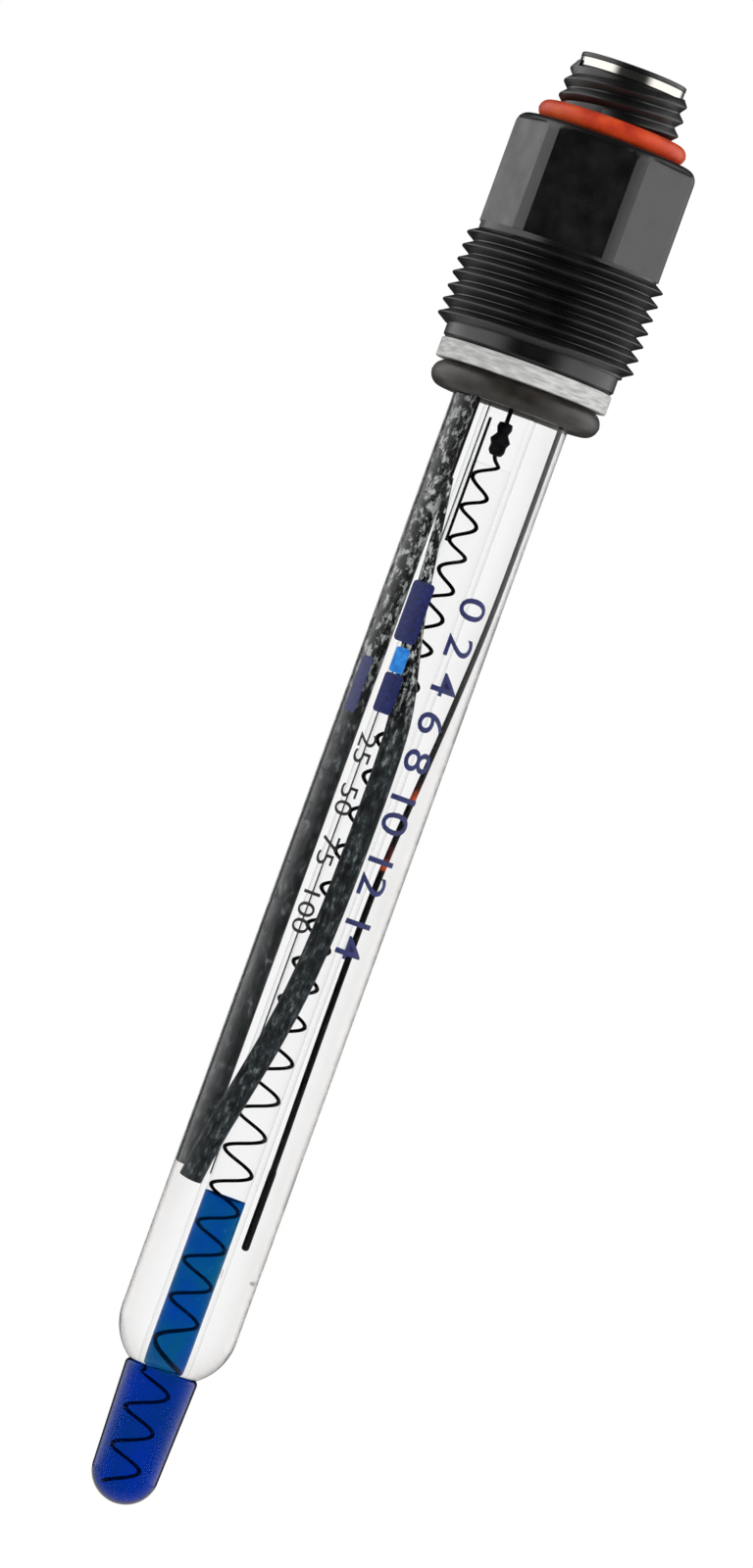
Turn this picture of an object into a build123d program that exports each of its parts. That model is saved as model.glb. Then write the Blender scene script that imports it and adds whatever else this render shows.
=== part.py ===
# Process pH electrode with a 12 mm glass shaft, in millimetres.
# Z runs along the shaft, with 0 at the lowest point of the bulb. The front is -Y.
import math
import os

from build123d import *

# Shaft and sensing end
insertion_length = 120.0  # from the bulb's tip to the seat under the head
shaft_diameter = 12.0
shaft_wall = 1.0
shaft_in_head = 16.5  # length of glass bonded inside the head
shoulder_height = 4.8
bulb_height = 14.2
bulb_top_diameter = 7.6
bulb_tip_diameter = 6.8
bulb_wall = 0.4
bulb_corner_radius = 0.6
seal_ring_width = 0.9  # glass melted together where the shaft ends on the bulb
stem_diameter = 4.0
stem_bore = 3.2

# Fills
buffer_level = 32.5
stem_gel_below_seat = 10.5
stopper_above_seat = 4.0  # the reference gel ends here too
stopper_height = 8.0
fill_clearance = 0.02

# Coiled lead in the stem
lead_wire_diameter = 0.34
wire_sides = 6  # the thin wires are drawn six-sided
coil_pitch = 3.75
coil_segments = 8  # straight lengths in one turn
coil_wide_radius = 1.33  # centreline, where the coil fills the bore
coil_tight_radius = 0.75  # centreline, below the crimp
coil_bulb_radius = 1.15
coil_open_from = 48.0  # the coil widens downwards between these two heights
coil_open_to = 76.0
coil_bottom = 1.9
crimp_diameter = 1.7
crimp_height = 3.5
crimp_below_seat = 6.0
crimp_socket_depth = 1.0  # how far the signal wire reaches into the crimp

# Reference side
cartridge_diameter = 1.7
cartridge_circle = 3.45  # radius at which it stands off the axis
cartridge_angle = -114.0  # degrees from the front, to the left
cartridge_foot = 34.0
swept_cartridge_diameter = 2.1
swept_cartridge_circle = 3.35
swept_cartridge_foot = 33.0
# Shares of the height from its foot to the stopper, and degrees from the front, to the right
swept_cartridge_shares = (0.0, 0.044, 0.099, 0.165, 0.231, 0.308, 0.505, 0.56, 0.621)
swept_cartridge_angles = (-71.0, -58.0, -37.0, -17.0, -3.0, 4.0, 6.0, 0.0, -20.0)
swept_tip_diameter = 0.5
swept_tip_share = 0.813
swept_tip_angle = -56.0
fine_wire_diameter = 0.3
fine_lead_end = 3.0  # above the stopper
reference_wire_diameter = 0.42
reference_wire_foot = 28.0
reference_sleeve_diameter = 0.75
reference_sleeve_length = 8.5
reference_sleeve_cap = 0.4
reference_sleeve_offset = 2.65  # distance to the right of the axis
# Shares of the height from the wire's foot to the stopper, and distances to the right of the axis
reference_wire_shares = (0.292, 0.417, 0.5, 0.625, 0.708, 0.896)
reference_wire_offsets = (2.5, 2.6, 2.98, 3.64, 4.0, 4.05)
diaphragm_diameter = 1.0
diaphragm_height = 25.0
diaphragm_angle = 35.0  # degrees from the back, to the right

# Plug head
seat_collar_width = 2.95  # from the glass outwards
seat_collar_height = 1.9
process_thread_diameter = 20.4
process_thread_height = 10.2
process_thread_pitch = 1.411
hex_across_flats = 17.0
hex_turn = 6.4  # degrees that its front flat is turned to the left
hex_corner_diameter = 18.9
hex_height = 11.6
hex_chamfer_width = 1.0
hex_chamfer_height = 1.3
spigot_neck_diameter = 11.4
spigot_neck_height = 2.2
spigot_thread_diameter = 12.6
spigot_thread_height = 4.0
spigot_thread_pitch = 1.5
spigot_rim_diameter = 11.0
spigot_rim_height = 1.4
spigot_bore = 8.2
edge_break = 0.4
bond_gap = 0.15  # adhesive film around the glass in the head
head_roof = 0.5  # space above the glass inside the head
head_cavity_diameter = 10.4
head_cavity_height = 6.3

# Rings and washer
washer_height = 2.0
washer_clearance = 0.1
process_ring_section = 2.8
connector_ring_section = 2.0
ring_clearance = 0.05

# Coaxial contacts
contact_clearance = 0.02
shield_wall = 0.6
shield_recess = 1.0
insulator_recess = 1.6
insulator_height = 5.6
centre_contact_diameter = 3.0
centre_socket_diameter = 1.6
centre_socket_depth = 5.0
centre_socket_lead_in = 0.2
centre_tail_diameter = 1.2
centre_tail_length = 2.5
shield_tail_width = 1.2
shield_tail_length = 2.5

# Levels and radii that follow from the sizes above
seat_z = insertion_length
seat_collar_diameter = shaft_diameter + 2 * seat_collar_width
thread_z = seat_z + seat_collar_height
hex_z = thread_z + process_thread_height
spigot_z = hex_z + hex_height
spigot_thread_z = spigot_z + spigot_neck_height
spigot_rim_z = spigot_thread_z + spigot_thread_height
head_top_z = spigot_rim_z + spigot_rim_height
glass_top_z = seat_z + shaft_in_head
cavity_z = glass_top_z + head_roof
cavity_top_z = cavity_z + head_cavity_height
stem_gel_level = seat_z - stem_gel_below_seat
reference_gel_level = seat_z + stopper_above_seat
crimp_top = seat_z - crimp_below_seat
stopper_z = reference_gel_level
stopper_top_z = stopper_z + stopper_height
shaft_radius = shaft_diameter / 2
shaft_bore_radius = shaft_radius - shaft_wall
shaft_foot_radius = bulb_top_diameter / 2 - bulb_corner_radius / 4
stem_radius = stem_diameter / 2
stem_bore_radius = stem_bore / 2
bulb_radius = bulb_top_diameter / 2
insulator_top_z = head_top_z - insulator_recess
insulator_z = insulator_top_z - insulator_height
centre_tail_z = insulator_z - centre_tail_length
shield_tail_x = spigot_bore / 2 - contact_clearance - shield_wall / 2
shield_tail_z = cavity_top_z - shield_tail_length
crimp_z = crimp_top - crimp_height
upright = (Align.CENTER, Align.CENTER, Align.MIN)
overshoot = 1.0  # how far a cutter runs past the face that it opens


def rod(radius, low, high):
    return Pos(0, 0, low) * Cylinder(radius, high - low, align=upright)


def tube(outer_radius, inner_radius, low, high):
    return rod(outer_radius, low, high) - rod(inner_radius, low - overshoot, high + overshoot)


def turned(*edges):
    """A solid turned about Z from an outline in the XZ plane."""
    return revolve(make_face(edges), Axis.Z)


def around(radius, angle, height):
    """A point on a circle about the shaft, with the angle in degrees from the front, to the right."""
    turn = math.radians(angle)
    return (radius * math.sin(turn), -radius * math.cos(turn), height)


def bent_along(points, section):
    """A rod of this section along straight lengths, mitred where it bends."""
    path = Polyline(*points)
    start = Plane(origin=path @ 0, z_dir=path % 0)
    return sweep(start * section, path=path, transition=Transition.RIGHT)


# Plug head


def head_outline():
    """The moulding's outside: seat collar, process thread, hexagon, neck, cable thread and rim."""
    collar = rod(seat_collar_diameter / 2, seat_z, thread_z)
    collar = chamfer(collar.edges().group_by(Axis.Z)[0], edge_break)
    thread = rod(process_thread_diameter / 2, thread_z, hex_z)
    thread = chamfer(thread.edges().group_by(Axis.Z)[0], process_thread_pitch / 2)
    thread = chamfer(thread.edges().group_by(Axis.Z)[-1], process_thread_pitch / 3)
    hexagon = RegularPolygon(hex_across_flats / 2, 6, major_radius=False, rotation=30 - hex_turn)
    nut = Pos(0, 0, hex_z) * extrude(hexagon, hex_height)
    blank = rod(hex_corner_diameter / 2, hex_z, spigot_z)
    blank = chamfer(blank.edges().group_by(Axis.Z)[-1], hex_chamfer_height, hex_chamfer_width)
    neck = rod(spigot_neck_diameter / 2, spigot_z, spigot_rim_z)
    cable_thread = rod(spigot_thread_diameter / 2, spigot_thread_z, spigot_rim_z)
    cable_thread = chamfer(cable_thread.edges().group_by(Axis.Z)[-1], spigot_thread_pitch / 2)
    rim = rod(spigot_rim_diameter / 2, spigot_rim_z, head_top_z)
    rim = chamfer(rim.edges().group_by(Axis.Z)[-1], edge_break)
    return collar + thread + (nut & blank) + neck + cable_thread + rim


def plug_head():
    glass_bore = rod(shaft_radius + bond_gap, seat_z - overshoot, cavity_z)
    cavity = rod(head_cavity_diameter / 2, cavity_z - overshoot, cavity_top_z)
    contact_bore = rod(spigot_bore / 2, cavity_top_z - overshoot, head_top_z + overshoot)
    return head_outline() - glass_bore - cavity - contact_bore


# Connector contacts


def shield_tail(grow=0.0):
    thickness = shield_wall + 2 * grow
    width = shield_tail_width + 2 * grow
    place = Pos(shield_tail_x, 0, shield_tail_z - grow)
    return place * Box(thickness, width, cavity_top_z - shield_tail_z + grow, align=upright)


def shield_contact():
    """Brass sleeve pressed in the spigot, with a flat solder tail reaching down into the cavity."""
    outer = spigot_bore / 2 - contact_clearance
    sleeve = tube(outer, outer - shield_wall, cavity_top_z, head_top_z - shield_recess)
    long_tail = shield_tail() + Pos(0, 0, shield_wall) * shield_tail()
    return sleeve + (long_tail & rod(outer, shield_tail_z, head_top_z))


def contact_insulator():
    outer = spigot_bore / 2 - shield_wall - 2 * contact_clearance
    inner = centre_contact_diameter / 2 + contact_clearance
    return tube(outer, inner, insulator_z, insulator_top_z)


def centre_tail(grow=0.0):
    return rod(centre_tail_diameter / 2 + grow, centre_tail_z - grow, insulator_z)


def centre_contact():
    """Turned socket for the cable's pin, with a thinner tail below for the signal wire."""
    body = rod(centre_contact_diameter / 2, insulator_z, insulator_top_z)
    socket_z = insulator_top_z - centre_socket_depth
    socket = rod(centre_socket_diameter / 2, socket_z, insulator_top_z + overshoot)
    contact = body - socket + centre_tail()
    mouth = contact.edges().filter_by(GeomType.CIRCLE).group_by(Axis.Z)[-1].sort_by(SortBy.RADIUS)[0]
    return chamfer(mouth, centre_socket_lead_in)


# Rings and washer


def ring(inner_radius, section, low):
    centre = Pos(0, 0, low + section / 2)
    return centre * Torus(inner_radius + section / 2, section / 2)


def connector_o_ring():
    return ring(spigot_neck_diameter / 2 + ring_clearance, connector_ring_section, spigot_z)


def thrust_washer():
    washer = tube(seat_collar_diameter / 2, shaft_radius + washer_clearance, seat_z - washer_height, seat_z)
    outer_edges = washer.edges().filter_by(GeomType.CIRCLE).group_by(SortBy.RADIUS)[-1]
    return chamfer(outer_edges, edge_break / 2)


def process_o_ring():
    low = seat_z - washer_height - process_ring_section
    return ring(shaft_radius + ring_clearance, process_ring_section, low)


# Glass


def shoulder_radius(drop, height):
    """Radius of the arc that leaves the shaft upright and reaches in by drop over height."""
    return (drop**2 + height**2) / (2 * drop)


def shoulder_arc(radius_top, radius_low, z_low):
    """The shoulder's outline from the joint up to the shaft, upright where it meets the shaft."""
    bend = shoulder_radius(radius_top - radius_low, shoulder_height)
    z_top = z_low + shoulder_height
    half = math.asin(shoulder_height / bend) / 2
    middle = (radius_top - bend + bend * math.cos(half), z_top - bend * math.sin(half))
    return ThreePointArc((radius_low, z_low), middle, (radius_top, z_top))


def outer_tube():
    """Shaft glass, open at the top and drawn in at the foot to meet the bulb."""
    inner_foot_radius = shaft_foot_radius - seal_ring_width
    outside = Plane.XZ * shoulder_arc(shaft_radius, shaft_foot_radius, bulb_height)
    inside = Plane.XZ * shoulder_arc(shaft_bore_radius, inner_foot_radius, bulb_height)
    joint = Line(inside @ 0, outside @ 0)
    outer_wall = Line(outside @ 1, (shaft_radius, 0, glass_top_z))
    top = Line(outer_wall @ 1, (shaft_bore_radius, 0, glass_top_z))
    inner_wall = Line(top @ 1, inside @ 1)
    body = turned(joint, outside, outer_wall, top, inner_wall, inside)
    return body - diaphragm_body(diaphragm_diameter / 2)


def bulb_outline(offset):
    """The bulb's outline in the XZ plane, moved in from its outer face by offset, closed on the axis."""
    tip_radius = bulb_tip_diameter / 2
    tip_centre = tip_radius
    radius = tip_radius - offset
    top = bulb_height - offset
    corner = bulb_corner_radius
    side = bulb_radius - offset
    slope = (side - radius) / (top - tip_centre)
    side_top = (side - slope * corner, top - corner)
    flat_edge = (side - corner - slope * corner, top)
    reach = math.sqrt(0.5)
    dome = ThreePointArc((0, offset), (radius * reach, tip_centre - radius * reach), (radius, tip_centre))
    wall = Line((radius, tip_centre), side_top)
    turn = (side_top[0] - corner * (1 - reach), side_top[1] + corner * reach)
    round_corner = ThreePointArc(side_top, turn, flat_edge)
    roof = Line(flat_edge, (0, top))
    axis = Line((0, top), (0, offset))
    return dome, wall, round_corner, roof, axis


def bulb_solid(offset):
    return revolve(Plane.XZ * make_face(bulb_outline(offset)), Axis.Z)


def membrane_bulb():
    """Thin sensing glass blown to a closed bulb, open only into the stem."""
    shell = bulb_solid(0) - bulb_solid(bulb_wall)
    return shell - rod(stem_bore_radius, bulb_height - 2 * bulb_wall, bulb_height + overshoot)


def stem_tube():
    return tube(stem_radius, stem_bore_radius, bulb_height, stopper_top_z)


def diaphragm_body(radius):
    direction = around(1, 180 - diaphragm_angle, 0)
    inside = around(shaft_bore_radius - overshoot, 180 - diaphragm_angle, diaphragm_height)
    return extrude(Plane(origin=inside, z_dir=direction) * Circle(radius), shaft_wall + 2 * overshoot)


def ceramic_diaphragm():
    """Porous pin melted into the shaft's wall, through which the reference gel meets the process."""
    low = diaphragm_height - diaphragm_diameter
    high = diaphragm_height + diaphragm_diameter
    return diaphragm_body(diaphragm_diameter / 2) & tube(shaft_radius, shaft_bore_radius, low, high)


# Coiled lead


def coil_radius(z):
    """Centreline radius: tight under the crimp, wide in the lower stem, a little less in the bulb."""
    if z < bulb_height:
        return coil_bulb_radius
    opened = (coil_open_to - z) / (coil_open_to - coil_open_from)
    opened = min(1.0, max(0.0, opened))
    return coil_tight_radius + (coil_wide_radius - coil_tight_radius) * opened


def coil_points():
    start = crimp_z - 2 * lead_wire_diameter
    turns = (start - coil_bottom) / coil_pitch
    steps = int(turns * coil_segments)
    points = [(0, 0, crimp_z), (0, 0, start + lead_wire_diameter / 2)]
    for step in range(steps + 1):
        z = start - coil_pitch * step / coil_segments
        angle = 2 * math.pi * step / coil_segments
        radius = coil_radius(z)
        points.append((radius * math.cos(angle), -radius * math.sin(angle), z))
    return points


def coil_lead():
    """Silver wire wound in an open coil, from the crimp down to the bulb's tip."""
    return bent_along(coil_points(), RegularPolygon(lead_wire_diameter / 2, wire_sides))


def lead_crimp():
    """Ferrule that joins the coil to the signal wire, in the air space above the gel."""
    ferrule = rod(crimp_diameter / 2, crimp_z, crimp_top)
    socket_z = crimp_top - crimp_socket_depth
    return ferrule - rod(lead_wire_diameter / 2 + fill_clearance, socket_z, crimp_top + overshoot)


def signal_wire(grow=0.0):
    low = crimp_top - crimp_socket_depth + fill_clearance
    return rod(lead_wire_diameter / 2 + grow, low, centre_tail_z)


# Reference side


def reference_cartridge(grow=0.0):
    """Straight sealed glass rod of reference salt, from the shaft's foot up into the stopper."""
    place = Pos(*around(cartridge_circle, cartridge_angle, 0))
    return place * rod(cartridge_diameter / 2 + grow, cartridge_foot - grow, stopper_top_z)


def swept_point(share, angle):
    height = swept_cartridge_foot + share * (stopper_z - swept_cartridge_foot)
    return Vector(*around(swept_cartridge_circle, angle, height))


def swept_cartridge(grow=0.0):
    """Second cartridge, bowed across the front of the stem and drawn out to a point at the top."""
    points = [swept_point(*step) for step in zip(swept_cartridge_shares, swept_cartridge_angles)]
    tip = swept_point(swept_tip_share, swept_tip_angle)
    tip_direction = tip - points[-1]
    neck = points[-1] + tip_direction.normalized() * swept_cartridge_diameter / 2
    body = bent_along([*points, neck], Circle(swept_cartridge_diameter / 2 + grow))
    length = (tip - neck).length
    drawn = Cone(swept_cartridge_diameter / 2 + grow, swept_tip_diameter / 2 + grow, length, align=upright)
    return body + Plane(origin=neck, z_dir=tip_direction) * drawn


def swept_cartridge_lead(grow=0.0):
    """Fine wire from the drawn point up through the stopper."""
    tip = swept_point(swept_tip_share, swept_tip_angle)
    place = Pos(tip.X, tip.Y, 0)
    low = tip.Z + fine_wire_diameter
    return place * rod(fine_wire_diameter / 2 + grow, low - grow, stopper_top_z + fine_lead_end)


def reference_wire(grow=0.0):
    """Dark silver wire, hugging the stem low down and the shaft's wall under the head."""
    foot = (reference_sleeve_offset, 0, reference_wire_foot + reference_sleeve_cap)
    sleeve_mouth = (reference_sleeve_offset, 0, reference_wire_foot + reference_sleeve_length)
    rise = stopper_z - reference_wire_foot
    steps = zip(reference_wire_shares, reference_wire_offsets)
    points = [(offset, 0, reference_wire_foot + share * rise) for share, offset in steps]
    in_stopper = (reference_wire_offsets[-1], 0, stopper_top_z)
    joint = (shield_tail_x, 0, shield_tail_z - fill_clearance)
    section = RegularPolygon(reference_wire_diameter / 2 + grow, wire_sides)
    return bent_along([foot, sleeve_mouth, *points, in_stopper, joint], section)


def reference_sleeve(grow=0.0):
    """Black sleeve closed over the foot of the reference wire."""
    place = Pos(reference_sleeve_offset, 0, 0)
    top = reference_wire_foot + reference_sleeve_length
    outside = rod(reference_sleeve_diameter / 2 + grow, reference_wire_foot - grow, top + grow)
    return place * outside


def hollow_reference_sleeve():
    return reference_sleeve() - reference_wire(fill_clearance)


# Fills, stopper and potting


def inner_buffer(coil):
    """Blue buffer that fills the bulb and the foot of the stem around the coil."""
    bulb_room = bulb_solid(bulb_wall + fill_clearance)
    stem_room = rod(stem_bore_radius - fill_clearance, bulb_height - 2 * bulb_wall, buffer_level)
    return bulb_room + stem_room - coil


def stem_gel(coil):
    """Clear gel above the buffer, which keeps it in the bulb whichever way the electrode points."""
    return rod(stem_bore_radius - fill_clearance, buffer_level, stem_gel_level) - coil


def reference_gel():
    """Clear salt gel cast between the stem and the shaft, around everything on the reference side."""
    foot = bulb_height + fill_clearance
    wide = shaft_bore_radius - fill_clearance
    narrow = shaft_foot_radius - seal_ring_width - fill_clearance
    wall_arc = Plane.XZ * shoulder_arc(wide, narrow, foot)
    wall = Line(wall_arc @ 1, (wide, 0, reference_gel_level))
    top = Line(wall @ 1, (0, 0, reference_gel_level))
    axis = Line(top @ 1, (0, 0, foot))
    bottom = Line(axis @ 1, wall_arc @ 0)
    room = turned(wall_arc, wall, top, axis, bottom)
    room = room - rod(stem_radius + fill_clearance, foot - overshoot, reference_gel_level + overshoot)
    for held in (reference_cartridge, swept_cartridge, swept_cartridge_lead):
        room = room - held(fill_clearance)
    room = room - reference_wire(fill_clearance) - reference_sleeve(fill_clearance)
    return room


def tube_stopper():
    """Rubber stopper that closes the shaft above the gel and centres the stem."""
    plug = rod(shaft_bore_radius - fill_clearance, stopper_z, stopper_top_z)
    plug = plug - rod(stem_radius + fill_clearance, stopper_z - overshoot, stopper_top_z + overshoot)
    for held in (reference_cartridge, swept_cartridge_lead, reference_wire):
        plug = plug - held(fill_clearance)
    return plug


def head_potting():
    """Resin that fills the head around the solder joints and holds the glass."""
    in_glass = rod(shaft_bore_radius - fill_clearance, stopper_top_z, cavity_z)
    over_glass = rod(shaft_radius + bond_gap - fill_clearance, glass_top_z, cavity_z)
    in_cavity = rod(head_cavity_diameter / 2 - fill_clearance, cavity_z, cavity_top_z)
    resin = in_glass + over_glass + in_cavity
    for held in (signal_wire, swept_cartridge_lead, reference_wire, shield_tail, centre_tail):
        resin = resin - held(fill_clearance)
    return resin


coil = coil_lead()
nodes = {
    "plug_head": plug_head(),
    "shield_contact": shield_contact(),
    "contact_insulator": contact_insulator(),
    "centre_contact": centre_contact(),
    "connector_o_ring": connector_o_ring(),
    "thrust_washer": thrust_washer(),
    "process_o_ring": process_o_ring(),
    "outer_tube": outer_tube(),
    "stem_tube": stem_tube(),
    "membrane_bulb": membrane_bulb(),
    "ceramic_diaphragm": ceramic_diaphragm(),
    "coil_lead": coil,
    "lead_crimp": lead_crimp(),
    "signal_wire": signal_wire(),
    "inner_buffer": inner_buffer(coil),
    "stem_gel": stem_gel(coil),
    "reference_cartridge": reference_cartridge(),
    "swept_cartridge": swept_cartridge(),
    "swept_cartridge_lead": swept_cartridge_lead(),
    "reference_wire": reference_wire(),
    "reference_sleeve": hollow_reference_sleeve(),
    "reference_gel": reference_gel(),
    "tube_stopper": tube_stopper(),
    "head_potting": head_potting(),
}

os.makedirs("parts", exist_ok=True)
for name, solid in nodes.items():
    export_step(solid, f"parts/{name}.step")
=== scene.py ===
import math

import bmesh
import bpy
from mathutils import Matrix, Vector


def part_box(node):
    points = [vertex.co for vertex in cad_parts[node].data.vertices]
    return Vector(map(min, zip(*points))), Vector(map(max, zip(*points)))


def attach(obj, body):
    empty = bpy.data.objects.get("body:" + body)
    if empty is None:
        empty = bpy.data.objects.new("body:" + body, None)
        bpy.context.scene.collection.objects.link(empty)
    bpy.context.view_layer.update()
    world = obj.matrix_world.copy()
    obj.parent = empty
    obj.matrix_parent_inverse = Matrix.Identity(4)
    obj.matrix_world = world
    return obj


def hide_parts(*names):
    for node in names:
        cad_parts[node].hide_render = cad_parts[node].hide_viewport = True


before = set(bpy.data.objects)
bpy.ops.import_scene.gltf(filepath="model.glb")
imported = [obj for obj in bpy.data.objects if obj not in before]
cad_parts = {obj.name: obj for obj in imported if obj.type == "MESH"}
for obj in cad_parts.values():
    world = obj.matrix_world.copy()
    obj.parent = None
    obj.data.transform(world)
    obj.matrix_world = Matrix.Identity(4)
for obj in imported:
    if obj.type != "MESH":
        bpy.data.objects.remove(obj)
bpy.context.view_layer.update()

# Studio
# A pale round table under the hanging electrode, a white room that is dark in front and behind,
# two soft boxes, and a long lens. The picture leans because the camera is rolled.
mm = 0.001
table_radius = 250 * mm
table_level = -40 * mm
camera_distance = 950 * mm
camera_height = 75.95 * mm
camera_side = 0.1 * mm
camera_roll = math.radians(19.97)
camera_lens = 219.7
nearest_seen = 10 * mm
soft_box_width = 250 * mm
soft_box_height = 500 * mm
soft_box_stand = Vector((550 * mm, -420 * mm, 220 * mm))
soft_box_aim = Vector((0, 0, 100 * mm))
dark_until = 0.48  # how far a mirrored ray turns sideways before it leaves the dark front
bright_from = 0.76
dark_glow = 0.03
bright_glow = 1.8
room_floor = -0.5  # how steeply a mirrored ray goes down or up, between which the glow grows
room_ceiling = 0.9
floor_share = 0.55  # of that glow, low and high in the room
ceiling_share = 1.25
matt_glow = 0.4  # what matt surfaces get from the room
backdrop_glow = 1.0


def srgb(code):
    """A hex colour such as "1a2b3c" as linear red, green, blue and alpha."""
    shares = [int(code[i : i + 2], 16) / 255 for i in (0, 2, 4)]
    return [s / 12.92 if s <= 0.04045 else ((s + 0.055) / 1.055) ** 2.4 for s in shares] + [1.0]


def add(tree, kind, inputs=None, **settings):
    """Adds a node with its settings. An input is a value to set, or a socket or whole node to link."""
    made = tree.nodes.new(kind)
    for name, value in settings.items():
        setattr(made, name, value)
    for key, value in (inputs or {}).items():
        if isinstance(value, bpy.types.Node):
            value = value.outputs[0]
        if isinstance(value, bpy.types.NodeSocket):
            tree.links.new(value, made.inputs[key])
        else:
            made.inputs[key].default_value = value
    return made


def ramp(tree, factor, *stops):
    """A colour ramp through stops of (position, hex colour)."""
    made = add(tree, "ShaderNodeValToRGB", {"Fac": factor})
    elements = made.color_ramp.elements
    while len(elements) < len(stops):
        elements.new(0.5)
    for element, (position, code) in zip(elements, stops):
        element.position = position
        element.color = srgb(code)
    return made


def material(name):
    """A material with an empty node tree, and that tree."""
    made = bpy.data.materials.new(name)
    made.use_nodes = True
    made.node_tree.nodes.clear()
    return made, made.node_tree


def new_piece(name, mesh, *materials):
    """An object at the origin with this mesh and these finishes."""
    piece = bpy.data.objects.new(name, mesh)
    bpy.context.scene.collection.objects.link(piece)
    for finish in materials:
        mesh.materials.append(finish)
    return piece


def mesh_from(shape, name, smooth_below=35):
    """Closes a bmesh into a mesh, smooth except where faces meet at a larger angle."""
    mesh = bpy.data.meshes.new(name)
    shape.to_mesh(mesh)
    shape.free()
    mesh.shade_smooth()
    mesh.set_sharp_from_angle(angle=math.radians(smooth_below))
    return mesh


table_shape = bmesh.new()
bmesh.ops.create_circle(
    table_shape,
    cap_ends=True,
    segments=96,
    radius=table_radius,
    matrix=Matrix.Translation((0, 0, table_level)),
)
# Matt wall paint: a soft white that shows light and shade and mirrors nothing.
table_paint, tree = material("painted_table_matt_white")
table_surface = add(tree, "ShaderNodeBsdfPrincipled", {"Base Color": srgb("f2f1ee"), "Roughness": 0.7})
add(tree, "ShaderNodeOutputMaterial", {"Surface": table_surface})
table = new_piece("table", mesh_from(table_shape, "table"), table_paint)

# The camera, and what shines through glass, see plain white. Matt surfaces get softer light.
# A mirrored ray sees bright sides with a dark front and back, which draws the edges of the black head.
room = bpy.data.worlds.new("white_room")
bpy.context.scene.world = room
room.use_nodes = True
tree = room.node_tree
tree.nodes.clear()
looking = add(tree, "ShaderNodeTexCoord").outputs["Generated"]
looking = add(tree, "ShaderNodeSeparateXYZ", {"Vector": looking})
sideways = add(tree, "ShaderNodeMath", {0: looking.outputs["X"]}, operation="ABSOLUTE")
side_glow = add(
    tree,
    "ShaderNodeMapRange",
    {
        "Value": sideways,
        "From Min": dark_until,
        "From Max": bright_from,
        "To Min": dark_glow,
        "To Max": bright_glow,
    },
    interpolation_type="SMOOTHSTEP",
)
sky_glow = add(
    tree,
    "ShaderNodeMapRange",
    {
        "Value": looking.outputs["Z"],
        "From Min": room_floor,
        "From Max": room_ceiling,
        "To Min": floor_share,
        "To Max": ceiling_share,
    },
)
mirrored = add(tree, "ShaderNodeMath", {0: side_glow, 1: sky_glow}, operation="MULTIPLY")
ray = add(tree, "ShaderNodeLightPath")
plain_view = add(
    tree,
    "ShaderNodeMath",
    {0: ray.outputs["Is Camera Ray"], 1: ray.outputs["Is Transmission Ray"]},
    operation="MAXIMUM",
)
soft = add(
    tree,
    "ShaderNodeMix",
    {"Factor": ray.outputs["Is Diffuse Ray"], "A": mirrored, "B": matt_glow},
    data_type="FLOAT",
)
level = add(tree, "ShaderNodeMix", {"Factor": plain_view, "A": soft, "B": backdrop_glow}, data_type="FLOAT")
glow = add(tree, "ShaderNodeBackground", {"Color": srgb("ffffff"), "Strength": level})
add(tree, "ShaderNodeOutputWorld", {"Surface": glow})

for box_name, side, power in (("left_soft_box", -1, 2.0), ("right_soft_box", 1, 3.2)):
    lamp = bpy.data.lights.new(box_name, "AREA")
    lamp.shape = "RECTANGLE"
    lamp.size = soft_box_width
    lamp.size_y = soft_box_height
    lamp.energy = power
    holder = bpy.data.objects.new(box_name, lamp)
    bpy.context.scene.collection.objects.link(holder)
    stand = Vector((side * soft_box_stand.x, soft_box_stand.y, soft_box_stand.z))
    holder.location = stand
    holder.visible_glossy = False
    holder.rotation_euler = (soft_box_aim - stand).to_track_quat("-Z", "Y").to_euler()

camera = bpy.data.objects.new("camera", bpy.data.cameras.new("camera"))
bpy.context.scene.collection.objects.link(camera)
bpy.context.scene.camera = camera
camera.data.lens = camera_lens
camera.data.clip_start = nearest_seen
camera.location = (camera_side, -camera_distance, camera_height)
level_view = Matrix.Rotation(math.radians(90), 3, "X")
camera.rotation_euler = (level_view @ Matrix.Rotation(camera_roll, 3, "Z")).to_euler()
bpy.context.scene.view_settings.view_transform = "Standard"

# Plug head
# One injection moulding in black glass-filled plastic: seat collar, process thread, hexagon with turned
# corners, neck, cable thread and rim. The glass is bonded into its bore and the contacts into its top.
head_low, head_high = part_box("plug_head")
seat = head_low.z
head_top = head_high.z
shaft_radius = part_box("outer_tube")[1].x
glass_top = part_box("outer_tube")[1].z
turns_around = 180  # straight lengths round a turned shape
collar_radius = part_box("thrust_washer")[1].x
collar_height = 1.9 * mm
process_thread_radius = head_high.x
process_thread_height = 10.2 * mm
process_thread_pitch = 1.411 * mm
process_thread_depth = 0.95 * mm
process_crest_level = 126.38 * mm
hexagon_height = 11.6 * mm
across_flats_half = 8.5 * mm
turned_corner_radius = 9.45 * mm
hexagon_turn = math.radians(6.4)  # its front flat is turned to the left
neck_radius = 5.7 * mm
neck_height = 2.2 * mm
cable_thread_radius = 6.3 * mm
cable_thread_height = 4.0 * mm
cable_thread_lead = 3.0 * mm
cable_thread_starts = 2
cable_thread_depth = 0.62 * mm
cable_crest_level = 148.03 * mm
rim_radius = 5.5 * mm
socket_radius = 4.1 * mm
cavity_low = 137.0 * mm
cavity_high = 143.3 * mm
cavity_radius = 5.2 * mm
glass_bore_radius = 6.15 * mm
edge_break = 0.35 * mm
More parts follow.
